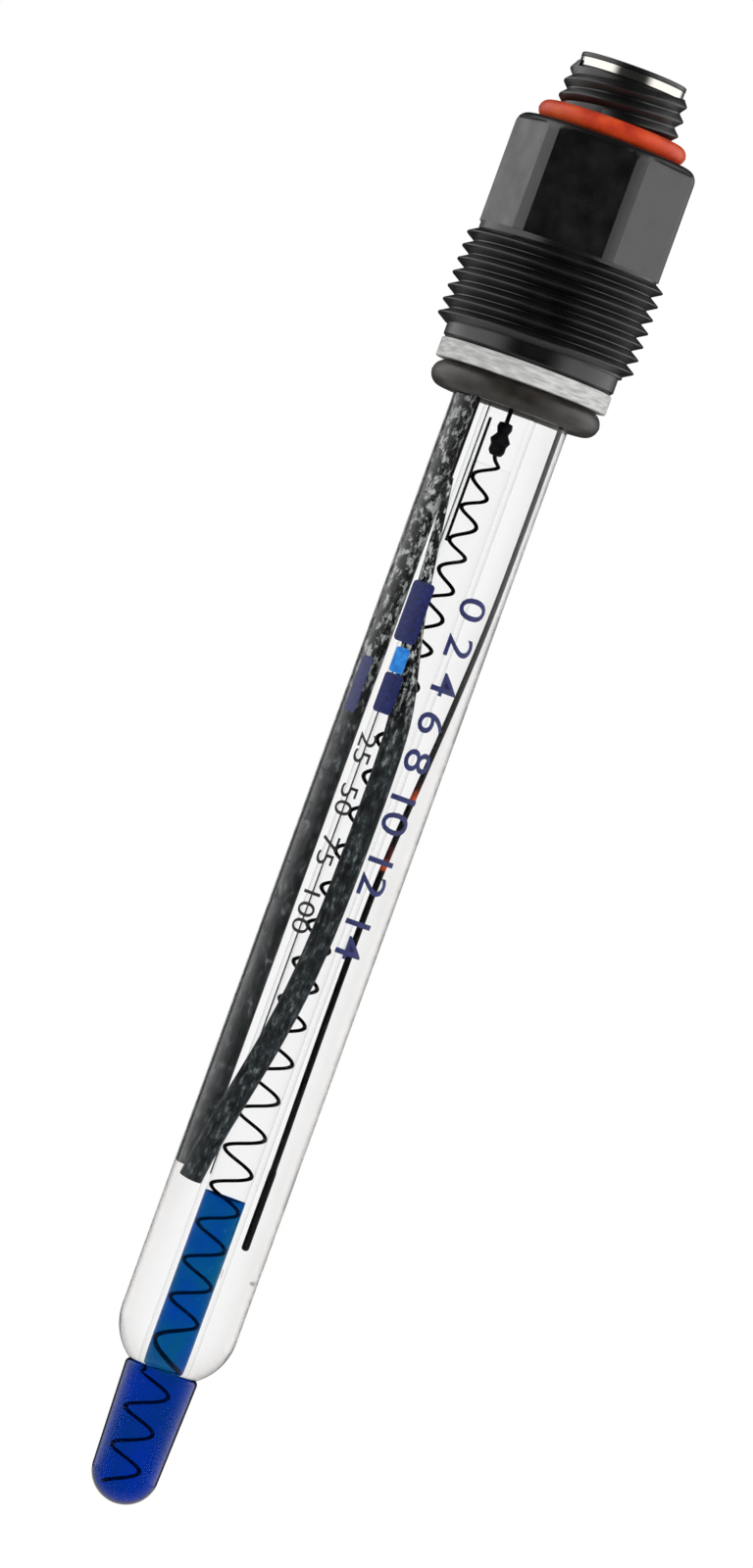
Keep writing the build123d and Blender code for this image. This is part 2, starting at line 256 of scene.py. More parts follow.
chamfer_height = 1.3 * mm  # the turned shoulder on top of the hexagon
chamfer_depth = 1.0 * mm
chamfer_steps = 10
thread_relief = 0.4 * mm  # plain core under the hexagon
core_skin = 0.02 * mm  # how far the cable core stands out of the ridge's root
core_slope = 0.2 * mm
rim_step = 0.12 * mm  # how deep the band lies
lip_height = 0.5 * mm
lip_slope = 0.08 * mm
lip_round = 0.16 * mm
mouth_break = 0.2 * mm
same_place = 0.01 * mm  # closer than this is the same height or radius

thread_low = seat + collar_height
hexagon_low = thread_low + process_thread_height
neck_low = hexagon_low + hexagon_height
cable_thread_low = neck_low + neck_height
rim_low = cable_thread_low + cable_thread_height


def lathe(outline, steps=turns_around, closed=True):
    """Turns a closed outline of (radius, height) about Z. Points on the axis close the ends."""
    shape = bmesh.new()
    points = [shape.verts.new((radius, 0, height)) for radius, height in outline]
    pairs = list(zip(points, points[1:]))
    if closed:
        pairs.append((points[-1], points[0]))
    edges = [shape.edges.new(pair) for pair in pairs]
    bmesh.ops.spin(
        shape,
        geom=points + edges,
        axis=(0, 0, 1),
        cent=(0, 0, 0),
        angle=math.tau,
        steps=steps,
        use_merge=True,
    )
    bmesh.ops.remove_doubles(shape, verts=shape.verts, dist=0.5e-6)
    bmesh.ops.recalc_face_normals(shape, faces=shape.faces)
    return shape


def arc(centre, radius, start, end, count=8):
    """Points of an arc in the outline's plane, angles in degrees from outwards to up."""
    steps = [math.radians(start + (end - start) * i / count) for i in range(count + 1)]
    return [(centre[0] + radius * math.cos(a), centre[1] + radius * math.sin(a)) for a in steps]


def helical_ridge(shape, low, high, crest_radius, depth, lead, starts, crest_level):
    """Adds a thread's ridge: a vee on a base sunk in the core, turned and lifted, with run-outs."""
    steps_per_turn = 96
    run_out_steps = 0.12 * steps_per_turn
    pitch = lead / starts
    root_radius = crest_radius - depth
    sunk_radius = root_radius - 0.25 * mm
    rounded_radius = crest_radius - 0.06 * depth
    half_base = pitch * 0.47
    half_rounding = pitch * 0.08
    half_crest = half_rounding * 0.45
    section = (
        (sunk_radius, -half_base),
        (root_radius, -half_base),
        (rounded_radius, -half_rounding),
        (crest_radius, -half_crest),
        (crest_radius, half_crest),
        (rounded_radius, half_rounding),
        (root_radius, half_base),
        (sunk_radius, half_base),
    )
    for start in range(starts):
        first = crest_level + start * pitch
        turns_down = math.floor((first - low) / lead * steps_per_turn)
        turns_up = math.floor((high - first) / lead * steps_per_turn)
        rings = []
        for step in range(-turns_down, turns_up + 1):
            angle = math.pi + math.tau * step / steps_per_turn
            height = first + lead * step / steps_per_turn
            fade = min(1.0, min(step + turns_down, turns_up - step) / run_out_steps)
            fade = math.sin(fade * math.pi / 2)
            ring = []
            for radius, offset in section:
                if radius > root_radius:
                    radius = root_radius + (radius - root_radius) * fade
                place = (radius * math.cos(angle), radius * math.sin(angle), height + offset)
                ring.append(shape.verts.new(place))
            rings.append([shape.edges.new((a, b)) for a, b in zip(ring, ring[1:] + ring[:1])])
        for below, above in zip(rings, rings[1:]):
            bmesh.ops.bridge_loops(shape, edges=below + above)
        for end in (rings[0], rings[-1]):
            bmesh.ops.contextual_create(shape, geom=end)


process_core = process_thread_radius - process_thread_depth
cable_core = cable_thread_radius - cable_thread_depth
chamfer_start = neck_low - chamfer_height
chamfer_turns = [math.radians(90 * i / chamfer_steps) for i in range(chamfer_steps + 1)]
chamfer_rows = [
    (turned_corner_radius - (1 - math.cos(a)) * chamfer_depth, chamfer_start + math.sin(a) * chamfer_height)
    for a in chamfer_turns
]
head_shape = lathe(
    [
        (glass_bore_radius, seat),
        (collar_radius - edge_break, seat),
        (collar_radius, seat + edge_break),
        (collar_radius, thread_low),
        (process_core, thread_low),
        (process_core, hexagon_low - thread_relief),
        (process_core, hexagon_low),
        (turned_corner_radius, hexagon_low),
        *chamfer_rows,
        (neck_radius, neck_low),
        (neck_radius, cable_thread_low),
        (cable_core + core_skin, cable_thread_low + core_slope),
        (cable_core + core_skin, rim_low - core_slope),
        (rim_radius - rim_step, rim_low),
        (rim_radius - rim_step, head_top - lip_height),
        (rim_radius, head_top - lip_height + lip_slope),
        *arc((rim_radius - lip_round, head_top - lip_round), lip_round, 0, 90, 5),
        (socket_radius + mouth_break, head_top),
        (socket_radius, head_top - mouth_break),
        (socket_radius, cavity_high),
        (cavity_radius, cavity_high),
        (cavity_radius, cavity_low),
        (glass_bore_radius, cavity_low),
    ]
)
for vertex in head_shape.verts:
    if hexagon_low - same_place < vertex.co.z < neck_low + same_place:
        radius = vertex.co.xy.length
        turn = math.atan2(vertex.co.y, vertex.co.x)
        from_flat = (turn + math.pi / 2 + hexagon_turn + math.pi / 6) % (math.pi / 3) - math.pi / 6
        flat_radius = across_flats_half / math.cos(from_flat)
        if radius > flat_radius and radius > process_core + same_place:
            vertex.co.xy *= flat_radius / radius
helical_ridge(
    head_shape,
    thread_low - 0.1 * mm,
    hexagon_low - 0.3 * mm,
    process_thread_radius,
    process_thread_depth,
    process_thread_pitch,
    1,
    process_crest_level,
)
helical_ridge(
    head_shape,
    cable_thread_low - 0.3 * mm,
    rim_low - core_slope,
    cable_thread_radius,
    cable_thread_depth,
    cable_thread_lead,
    cable_thread_starts,
    cable_crest_level,
)
bmesh.ops.recalc_face_normals(head_shape, faces=head_shape.faces)

# Glass-filled PPS: a fine moulded grain scatters the highlights, and the skin is glossier in some places.
# The real grain is too fine to show, so it is drawn 0.2 mm coarse.
head_plastic, tree = material("glass_filled_PPS_moulded_black")
where = add(tree, "ShaderNodeTexCoord").outputs["Object"]
grain = add(tree, "ShaderNodeTexNoise", {"Vector": where, "Scale": 1 / (0.1923 * mm), "Detail": 3.0})
cloud = add(tree, "ShaderNodeTexNoise", {"Vector": where, "Scale": 1 / (2.381 * mm), "Detail": 4.0})
tone = ramp(tree, cloud, (0.3, "060606"), (0.7, "0f0f0f"))
gloss = add(
    tree,
    "ShaderNodeMapRange",
    {"Value": cloud, "From Min": 0.3, "From Max": 0.7, "To Min": 0.26, "To Max": 0.42},
)
relief = add(tree, "ShaderNodeBump", {"Height": grain, "Strength": 0.25, "Distance": 0.03 * mm})
plastic = add(
    tree,
    "ShaderNodeBsdfPrincipled",
    {"Base Color": tone, "Roughness": gloss, "Normal": relief, "IOR": 1.6},
)
add(tree, "ShaderNodeOutputMaterial", {"Surface": plastic})
head = new_piece("moulded_head", mesh_from(head_shape, "moulded_head", 20), head_plastic)
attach(head, "root")
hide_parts("plug_head")

# Rim band
# The nickel-plated edge of the coaxial shield, moulded in with the head. It shows as one bright line
# between the black lip and the cable thread.
band_outer = rim_radius - 0.04 * mm
band_inner = rim_radius - 0.13 * mm
band_bevel = 0.03 * mm
band_top = head_top - lip_height
band_shape = lathe(
    [
        (band_inner, rim_low + band_bevel),
        (band_outer, rim_low + 2 * band_bevel),
        (band_outer, band_top - band_bevel),
        (band_inner, band_top),
    ]
)
# Polished nickel plate: a slightly warm mirror, with places that are a little duller.
plating, tree = material("nickel_plate_polished")
polish = add(
    tree,
    "ShaderNodeTexNoise",
    {"Vector": add(tree, "ShaderNodeTexCoord").outputs["Object"], "Scale": 1 / (1.429 * mm)},
)
polish = add(tree, "ShaderNodeMapRange", {"Value": polish, "To Min": 0.08, "To Max": 0.24})
plated = add(
    tree,
    "ShaderNodeBsdfPrincipled",
    {"Base Color": srgb("d9d6cf"), "Metallic": 1.0, "Roughness": polish},
)
add(tree, "ShaderNodeOutputMaterial", {"Surface": plated})
band = new_piece("rim_band", mesh_from(band_shape, "rim_band"), plating)
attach(band, "root")

# Coaxial contacts
# A turned brass sleeve with one solder tail, and a turned brass socket for the plug's pin, both gold
# flashed. A white PTFE insulator is pressed between them.
sleeve_low, sleeve_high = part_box("shield_contact")
sleeve_outer = sleeve_high.x
sleeve_wall = 0.6 * mm
insulator_low, insulator_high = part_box("contact_insulator")
socket_low, socket_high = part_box("centre_contact")
socket_outer = socket_high.x
socket_bore = 0.8 * mm
socket_depth = 5.0 * mm
tail_radius = 0.6 * mm
tail_width = 1.2 * mm
tail_break = 0.08 * mm
turned_break = 0.1 * mm
sleeve_mouth = 0.15 * mm
socket_mouth = 0.2 * mm
socket_drill_point = 0.3 * mm
press_gap = 0.01 * mm
wave_repeat = math.pi / 10  # metres after which a wave pattern of scale 1 repeats

# Turned brass with a gold flash: the tool's fine marks spread the highlight up and down. The real
# ones are too fine to show, so they are drawn coarser.
gold, tree = material("brass_turned_gold_flashed")
where = add(tree, "ShaderNodeTexCoord").outputs["Object"]
tool_marks = add(
    tree,
    "ShaderNodeTexWave",
    {"Vector": where, "Scale": wave_repeat / (0.3491 * mm), "Distortion": 1.5},
    bands_direction="Z",
)
marks = add(
    tree,
    "ShaderNodeBump",
    {"Height": tool_marks.outputs["Fac"], "Strength": 0.15, "Distance": 0.01 * mm},
)
brass = add(
    tree,
    "ShaderNodeBsdfPrincipled",
    {"Base Color": srgb("e0b45c"), "Metallic": 1.0, "Roughness": 0.22, "Normal": marks},
)
add(tree, "ShaderNodeOutputMaterial", {"Surface": brass})

sleeve_shape = lathe(
    [
        (sleeve_outer - sleeve_wall, cavity_high),
        (sleeve_outer, cavity_high),
        (sleeve_outer, sleeve_high.z - turned_break),
        (sleeve_outer - turned_break, sleeve_high.z),
        (sleeve_outer - sleeve_wall + sleeve_mouth, sleeve_high.z),
        (sleeve_outer - sleeve_wall, sleeve_high.z - sleeve_mouth),
    ],
    steps=96,
)
tail_length = cavity_high + sleeve_wall - sleeve_low.z
tail_matrix = Matrix.Translation((sleeve_outer - sleeve_wall / 2, 0, sleeve_low.z + tail_length / 2))
tail_matrix = tail_matrix @ Matrix.Diagonal((sleeve_wall * 0.96, tail_width, tail_length, 1))
tail_corners = bmesh.ops.create_cube(sleeve_shape, size=1.0, matrix=tail_matrix)["verts"]
tail_edges = {edge for corner in tail_corners for edge in corner.link_edges}
bmesh.ops.bevel(
    sleeve_shape,
    geom=list(tail_edges),
    offset=tail_break,
    segments=2,
    profile=0.5,
    affect="EDGES",
    material=-1,
)
sleeve = new_piece("contact_sleeve", mesh_from(sleeve_shape, "contact_sleeve"), gold)
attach(sleeve, "root")
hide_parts("shield_contact")

pin_shape = lathe(
    [
        (0, socket_low.z),
        (tail_radius, socket_low.z),
        (tail_radius, insulator_low.z),
        (socket_outer, insulator_low.z),
        (socket_outer, socket_high.z - turned_break),
        (socket_outer - turned_break, socket_high.z),
        (socket_bore + socket_mouth, socket_high.z),
        (socket_bore, socket_high.z - socket_mouth),
        (socket_bore, socket_high.z - socket_depth + socket_drill_point),
        (0, socket_high.z - socket_depth),
    ],
    steps=64,
    closed=False,
)
socket = new_piece("pin_socket", mesh_from(pin_shape, "pin_socket"), gold)
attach(socket, "root")
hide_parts("centre_contact")

# Turned PTFE: dead white and half matt, with faint rings from turning, drawn coarser
# than the real ones, which are too fine to show.
ptfe, tree = material("PTFE_turned_white")
where = add(tree, "ShaderNodeTexCoord").outputs["Object"]
rings = add(
    tree,
    "ShaderNodeTexWave",
    {"Vector": where, "Scale": wave_repeat / (0.2094 * mm)},
    wave_type="RINGS",
    rings_direction="Z",
)
turning = add(
    tree,
    "ShaderNodeBump",
    {"Height": rings.outputs["Fac"], "Strength": 0.2, "Distance": 0.01 * mm},
)
white = add(
    tree,
    "ShaderNodeBsdfPrincipled",
    {"Base Color": srgb("e9e8e2"), "Roughness": 0.5, "IOR": 1.38, "Normal": turning},
)
add(tree, "ShaderNodeOutputMaterial", {"Surface": white})
insulator_shape = lathe(
    [
        (socket_outer + press_gap, insulator_low.z),
        (insulator_high.x, insulator_low.z),
        (insulator_high.x, insulator_high.z - turned_break),
        (insulator_high.x - turned_break, insulator_high.z),
        (socket_outer + press_gap + turned_break, insulator_high.z),
        (socket_outer + press_gap, insulator_high.z - turned_break),
    ],
    steps=96,
)
insulator = new_piece("insulator", mesh_from(insulator_shape, "insulator"), ptfe)
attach(insulator, "root")
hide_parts("contact_insulator")

# Connector ring
# An orange-red O-ring moulded in silicone rubber, with a fine parting line. It is rolled over the cable
# thread on to the neck and held there by its own stretch.
ring_low, ring_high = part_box("connector_o_ring")
parting_line = 0.035 * mm


def ring_outline(low, high, ridge):
    """A round section between these corners, with a parting line outside and inside."""
    section = (high.z - low.z) / 2
    middle = (high.x - section, (high.z + low.z) / 2)
    outline = []
    for degree in range(0, 360, 9):
        a = math.radians(degree)
        radius = section - ridge if degree not in (0, 180) else section
        outline.append((middle[0] + radius * math.cos(a), middle[1] + radius * math.sin(a)))
    return outline


# Moulded silicone: waxy orange-red that goes paler in clouds, with light sinking a little way in.
# The dimples in its skin are drawn coarser than they are.
silicone, tree = material("silicone_rubber_moulded_orange_red")
where = add(tree, "ShaderNodeTexCoord").outputs["Object"]
bloom = add(tree, "ShaderNodeTexNoise", {"Vector": where, "Scale": 1 / (2.857 * mm), "Detail": 5.0})
pores = add(tree, "ShaderNodeTexNoise", {"Vector": where, "Scale": 1 / (0.2381 * mm), "Detail": 2.0})
tone = ramp(tree, bloom, (0.3, "a82c16"), (0.5, "c8431f"), (0.72, "d8602f"))
dimples = add(tree, "ShaderNodeBump", {"Height": pores, "Strength": 0.2, "Distance": 0.02 * mm})
rubber = add(
    tree,
    "ShaderNodeBsdfPrincipled",
    {
        "Base Color": tone,
        "Roughness": 0.42,
        "IOR": 1.41,
        "Subsurface Weight": 0.15,
        "Subsurface Scale": 0.4 * mm,
        "Normal": dimples,
    },
)
add(tree, "ShaderNodeOutputMaterial", {"Surface": rubber})
ring_shape = lathe(ring_outline(ring_low, ring_high, parting_line), steps=128)
red_ring = new_piece("silicone_ring", mesh_from(ring_shape, "silicone_ring", 60), silicone)
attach(red_ring, "root")
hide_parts("connector_o_ring")

# Slip washer
# A pale grey washer punched from slippery plastic sheet. It lies loose between the head's seat and the
# black ring and lets the head turn without twisting the ring.
washer_low, washer_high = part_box("thrust_washer")
washer_hole = shaft_radius + 0.1 * mm
# Punched polyacetal sheet: pale and dull, with streaks in two greys that run round the edge.
washer_plastic, tree = material("polyacetal_sheet_punched_pale_grey")
where = add(tree, "ShaderNodeTexCoord").outputs["Object"]
smear = add(tree, "ShaderNodeMapping", {"Vector": where, "Scale": (1.0, 1.0, 6.0)})
smear = add(tree, "ShaderNodeTexNoise", {"Vector": smear, "Scale": 1 / (1.667 * mm), "Detail": 5.0})
tone = ramp(tree, smear, (0.35, "a4a4a3"), (0.65, "cfcfce"))
punched = add(tree, "ShaderNodeBump", {"Height": smear, "Strength": 0.25, "Distance": 0.03 * mm})
washer_surface = add(
    tree,
    "ShaderNodeBsdfPrincipled",
    {"Base Color": tone, "Roughness": 0.45, "IOR": 1.48, "Normal": punched},
)
add(tree, "ShaderNodeOutputMaterial", {"Surface": washer_surface})
washer_edge = 0.18 * mm
washer_shape = lathe(
    [
        (washer_hole, washer_low.z),
        *arc((washer_high.x - washer_edge, washer_low.z + washer_edge), washer_edge, -90, 0, 4),
        *arc((washer_high.x - washer_edge, washer_high.z - washer_edge), washer_edge, 0, 90, 4),
        (washer_hole, washer_high.z),
    ]
)
washer = new_piece("slip_washer", mesh_from(washer_shape, "slip_washer"), washer_plastic)
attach(washer, "root")
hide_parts("thrust_washer")

# Process ring
# The black O-ring, moulded in fluorocarbon rubber, that seals the electrode in its holder. It grips the
# glass just under the washer.
seal_low, seal_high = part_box("process_o_ring")
# Moulded fluorocarbon rubber: black gone a little brown, with a fine skin that softens the shine.
fluorocarbon, tree = material("fluorocarbon_rubber_moulded_black")
where = add(tree, "ShaderNodeTexCoord").outputs["Object"]
dust = add(tree, "ShaderNodeTexNoise", {"Vector": where, "Scale": 1 / (2.0 * mm), "Detail": 6.0})
tone = ramp(tree, dust, (0.35, "161412"), (0.65, "2c2824"))
fine = add(tree, "ShaderNodeTexNoise", {"Vector": where, "Scale": 1 / (0.2 * mm)})
skin = add(tree, "ShaderNodeBump", {"Height": fine, "Strength": 0.25, "Distance": 0.02 * mm})
black_rubber = add(tree, "ShaderNodeBsdfPrincipled", {"Base Color": tone, "Roughness": 0.4, "Normal": skin})
add(tree, "ShaderNodeOutputMaterial", {"Surface": black_rubber})
seal_shape = lathe(ring_outline(seal_low, seal_high, parting_line), steps=128)
seal = new_piece("fluorocarbon_ring", mesh_from(seal_shape, "fluorocarbon_ring", 60), fluorocarbon)
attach(seal, "root")
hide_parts("process_o_ring")

# Shaft glass
# A drawn 12 mm tube, softened in the flame and pulled in at the foot, where it is melted to the bulb.
# Gel wets its bore, so light bends less there than it would against air.
glass_index = 1.5
gel_index = 1.38
buffer_index = 1.34
shaft_bore = 5.0 * mm
shoulder_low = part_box("outer_tube")[0].z
shoulder_height = 4.8 * mm
shaft_foot = 3.65 * mm
seal_width = 0.9 * mm


def glass(name, index, clear_tint, painted_edge_shade, edge_start, edge_end):
    """Clear glass, with painted shade that darkens it where it is seen edge on. Lamps shine through
    it, and it mirrors nothing, because an image of the bright sides would haze what lies inside."""
    made, tree = material(name)
    grazing = add(tree, "ShaderNodeLayerWeight", {"Blend": 0.5}).outputs["Facing"]
    # The edge colour is painted shade: what shows through goes darker as the glass turns edge on.
    tint = ramp(tree, grazing, (edge_start, clear_tint), (edge_end, painted_edge_shade))
    body = add(
        tree,
        "ShaderNodeBsdfPrincipled",
        {
            "Base Color": tint,
            "Roughness": 0.0,
            "IOR": index,
            "Transmission Weight": 1.0,
            "Specular Tint": srgb("000000"),
        },
    )
    passing = add(tree, "ShaderNodeBsdfTransparent", {"Color": srgb(clear_tint)})
    shadow = add(tree, "ShaderNodeLightPath").outputs["Is Shadow Ray"]
    both = add(tree, "ShaderNodeMixShader", {0: shadow, 1: body, 2: passing})
    add(tree, "ShaderNodeOutputMaterial", {"Surface": both})
    return made


def melted_joint():
    """Glass melted to glass has no surface left between the two, so nothing shows there."""
    made, tree = material("glass_melted_joint")
    passing = add(tree, "ShaderNodeBsdfTransparent", {"Color": srgb("ffffff")})
    add(tree, "ShaderNodeOutputMaterial", {"Surface": passing})
    return made


def shoulder(outer, inner, low, height, count=14):
    """The drawn-in foot: an arc that leaves the tube upright and ends at the joint, from the joint up."""
    drop = outer - inner
    bend = (drop**2 + height**2) / (2 * drop)
    sweep = math.asin(height / bend)
    steps = [sweep * (1 - i / count) for i in range(count + 1)]
    return [(outer - bend + bend * math.cos(a), low + height - bend * math.sin(a)) for a in steps]


# Drawn borosilicate: clear, with grey edges outside that are painted shade. Where gel wets it no edge
# shows.
shaft_outside = glass("borosilicate_drawn_clear", glass_index, "fefefe", "b0b2b2", 0.55, 0.95)
shaft_inside = glass("borosilicate_wetted_by_gel", glass_index / gel_index, "fefefe", "fefefe", 0, 1)
joint = melted_joint()
outer_wall = shoulder(shaft_radius, shaft_foot, shoulder_low, shoulder_height)
inner_wall = shoulder(shaft_bore, shaft_foot - seal_width, shoulder_low, shoulder_height)
shaft_shape = lathe(
    [
        *outer_wall,
        (shaft_radius, seat),
        (shaft_radius, glass_top - 0.3 * mm),
        (shaft_radius - 0.3 * mm, glass_top),
        (shaft_bore + 0.3 * mm, glass_top),
        (shaft_bore, glass_top - 0.3 * mm),
        (shaft_bore, seat),
        *reversed(inner_wall),
    ],
    steps=128,
)
for face in shaft_shape.faces:
    centre = face.calc_center_median()
    inward = face.normal.x * centre.x + face.normal.y * centre.y < 0
    if abs(centre.z - shoulder_low) < same_place:
        face.material_index = 2
    elif inward:
        face.material_index = 1
shaft = new_piece(
    "shaft_glass",
    mesh_from(shaft_shape, "shaft_glass", 50),
    shaft_outside,
    shaft_inside,
    joint,
)
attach(shaft, "root")
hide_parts("outer_tube")

# Stem glass
# The inner 4 mm tube down the middle, melted to the bulb at its foot. The clear gel lies outside it,
# the coil, the stem gel and the blue buffer inside.
stem_low, stem_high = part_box("stem_tube")
stem_radius = stem_high.x
stem_bore = 1.6 * mm
# Drawn lead glass between gel and buffer: hardly more than two pale grey lines, which are painted edge
# shade.
stem_outside = glass("lead_glass_wetted_by_gel", glass_index / gel_index, "fefefe", "d8dada", 0.4, 0.9)
stem_inside = glass("lead_glass_wetted_by_buffer", glass_index / buffer_index, "fefefe", "e4e6e6", 0.4, 0.9)
stem_shape = lathe(
    [
        (stem_bore, stem_low.z),
        (stem_radius, stem_low.z),
        (stem_radius, stem_high.z),
        (stem_bore, stem_high.z),
    ],
    steps=96,
)
for face in stem_shape.faces:
    centre = face.calc_center_median()
    inward = face.normal.x * centre.x + face.normal.y * centre.y < 0
    if abs(centre.z - stem_low.z) < same_place:
        face.material_index = 2
    elif inward and abs(face.normal.z) < 0.5:
        face.material_index = 1
stem = new_piece("stem_glass", mesh_from(stem_shape, "stem_glass", 50), stem_outside, stem_inside, joint)
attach(stem, "root")
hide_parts("stem_tube")

# Sensing bulb
# Thin pH-sensitive glass gathered on the stem and blown, with a nearly flat top and a round end.
# Its rim is melted to the foot of the shaft, its top to the stem.
bulb_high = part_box("membrane_bulb")[1]
bulb_side = 3.8 * mm
bulb_tip = 3.4 * mm
bulb_wall = 0.4 * mm
bulb_corner = 0.6 * mm


def bulb_outline(offset, count=18):
    """The bulb's outline moved in by offset, from the tip on the axis up to its flat top."""
    radius = bulb_tip - offset
    side = bulb_side - offset
    top = bulb_high.z - offset
    slope = (side - radius) / (top - bulb_tip)
    side_top = side - slope * bulb_corner
    dome = arc((0, bulb_tip), radius, -90, 0, count)
    dome[0] = (0, offset)
    corner = arc((side_top - bulb_corner, top - bulb_corner), bulb_corner, 0, 90, 6)
    return dome + corner


# Blown pH glass: a faint blue cast in the middle, and a blue-black rim of painted shade that is bluer on
# top under the gel.
bulb_outside = glass("pH_glass_blown", glass_index, "eaf1f8", "010415", 0.5, 0.74)
bulb_top = glass("pH_glass_wetted_by_gel", glass_index / gel_index, "e8eef4", "101c44", 0.6, 0.99)
bulb_inside = glass("pH_glass_wetted_by_buffer", glass_index / buffer_index, "f8fafc", "f8fafc", 0, 1)
joint_inner = shaft_foot - seal_width
bulb_shape = lathe(
    [
        *bulb_outline(0),
        (shaft_foot, bulb_high.z),
        (joint_inner, bulb_high.z),
        (stem_radius, bulb_high.z),
        (stem_bore, bulb_high.z),
        (stem_bore, bulb_high.z - bulb_wall),
        *reversed(bulb_outline(bulb_wall)),
    ],
    steps=96,
    closed=False,
)
for face in bulb_shape.faces:
    centre = face.calc_center_median()
    reach = centre.xy.length
    if face.normal.z > 0.9 and abs(centre.z - bulb_high.z) < same_place:
        on_joint = joint_inner < reach < shaft_foot or reach < stem_radius
        face.material_index = 3 if on_joint else 1
        if reach > shaft_foot:
            face.material_index = 0
    else:
        outward = centre - Vector((0, 0, min(centre.z, bulb_tip)))
        face.material_index = 0 if face.normal.dot(outward) > 0 else 2
bulb = new_piece(
    "sensing_bulb",
    mesh_from(bulb_shape, "sensing_bulb", 50),
    bulb_outside,
    bulb_top,
    bulb_inside,
    joint,
)
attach(bulb, "root")
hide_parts("membrane_bulb")

# Blue buffer
# Dyed buffer fills the bulb and the foot of the stem up to a slightly hollow surface.
# It is a filter that colours the light; the bending is the wetted glass around it.
buffer_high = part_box("inner_buffer")[1]
skin_gap = 0.02 * mm


def dyed(name, low_tint, high_tint, veil, veil_share):
    """A dyed liquid: it tints what is seen through it in soft clouds, under a thin veil of its colour."""
    made, tree = material(name)
    where = add(tree, "ShaderNodeTexCoord").outputs["Object"]
    drawn_out = add(tree, "ShaderNodeMapping", {"Vector": where, "Scale": (1.0, 1.0, 0.45)})
    cloud = add(tree, "ShaderNodeTexNoise", {"Vector": drawn_out, "Scale": 1 / (2.632 * mm)})
    tint = ramp(tree, cloud, (0.35, low_tint), (0.65, high_tint))
    filter_colour = add(tree, "ShaderNodeBsdfTransparent", {"Color": tint})
    body = add(tree, "ShaderNodeBsdfPrincipled", {"Base Color": srgb(veil), "Roughness": 0.5, "IOR": 1.0})
    both = add(tree, "ShaderNodeMixShader", {0: veil_share, 1: filter_colour, 2: body})
    add(tree, "ShaderNodeOutputMaterial", {"Surface": both})
    return made


# Dyed buffer: it looks greener and paler in the narrow stem than in the bulb.
stem_dye = dyed("buffer_solution_dyed_blue_in_stem", "3c9cb4", "3a80cc", "0b4fa0", 0.04)
bulb_dye = dyed("buffer_solution_dyed_blue_in_bulb", "3a78b0", "3c74c8", "0b3f9b", 0.04)
meniscus_depth = 0.35 * mm
stem_fill = stem_bore - skin_gap
hollow = [
    (0, buffer_high.z - meniscus_depth),
    (stem_fill * 0.5, buffer_high.z - meniscus_depth * 0.8),
    (stem_fill * 0.85, buffer_high.z - meniscus_depth * 0.35),
    (stem_fill, buffer_high.z),
]
buffer_shape = lathe(
    [
        *bulb_outline(bulb_wall + skin_gap),
        (stem_fill, bulb_high.z - bulb_wall - skin_gap),
        *reversed(hollow),
    ],
    steps=96,
    closed=False,
)
for face in buffer_shape.faces:
    if face.calc_center_median().z > bulb_high.z - bulb_wall - 2 * skin_gap:
        face.material_index = 1
blue = new_piece("blue_buffer", mesh_from(buffer_shape, "blue_buffer", 50), bulb_dye, stem_dye)
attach(blue, "root")
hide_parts("inner_buffer")

# Clear gels
# Salt gel cast round everything in the shaft, and the plug of gel over the buffer in the stem.
# Both are nearly clear; the shaft's gel looks a little grey where one looks through much of it.
gel_low, gel_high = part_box("reference_gel")
stem_gel_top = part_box("stem_gel")[1].z


def clear_gel(name, face_on, edge_on, blend):
    """Clear gel: it takes away a little light where one looks along its surface, a bit unevenly."""
    made, tree = material(name)
    where = add(tree, "ShaderNodeTexCoord").outputs["Object"]
    drawn_out = add(tree, "ShaderNodeMapping", {"Vector": where, "Scale": (1.0, 1.0, 0.2)})
    haze = add(tree, "ShaderNodeTexNoise", {"Vector": drawn_out, "Scale": 1 / (3.333 * mm), "Detail": 3.0})
    grazing = add(tree, "ShaderNodeLayerWeight", {"Blend": blend}).outputs["Facing"]
    uneven = add(tree, "ShaderNodeMath", {0: grazing, 1: haze, 2: 0.0}, operation="MULTIPLY_ADD")
    tint = ramp(tree, uneven, (0.05, face_on), (0.45, edge_on))
    passing = add(tree, "ShaderNodeBsdfTransparent", {"Color": tint})
    add(tree, "ShaderNodeOutputMaterial", {"Surface": passing})
    return made


# Cast gels: the salt gel greys the walls of the shaft a little, the plug's hardly at all.
salt_gel = clear_gel("salt_gel_cast_clear", "fcfcfc", "e9e7e6", 0.6)
plug_gel = clear_gel("plug_gel_cast_clear", "fefefe", "fafafa", 0.5)
gel_wall = shoulder(
    shaft_bore - skin_gap,
    shaft_foot - seal_width - skin_gap,
    shoulder_low + skin_gap,
    shoulder_height,
)
gel_bore = stem_radius + skin_gap
gel_shape = lathe(
    [
        (gel_bore, gel_low.z),
        *gel_wall,
        (shaft_bore - skin_gap, gel_high.z),
        (gel_bore, gel_high.z),
    ],
    steps=96,
)
for face in gel_shape.faces:
    if face.calc_center_median().xy.length < stem_radius + 2 * skin_gap:
        face.material_index = 1
gel = new_piece("shaft_gel", mesh_from(gel_shape, "shaft_gel", 50), salt_gel, joint)
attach(gel, "root")
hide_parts("reference_gel")

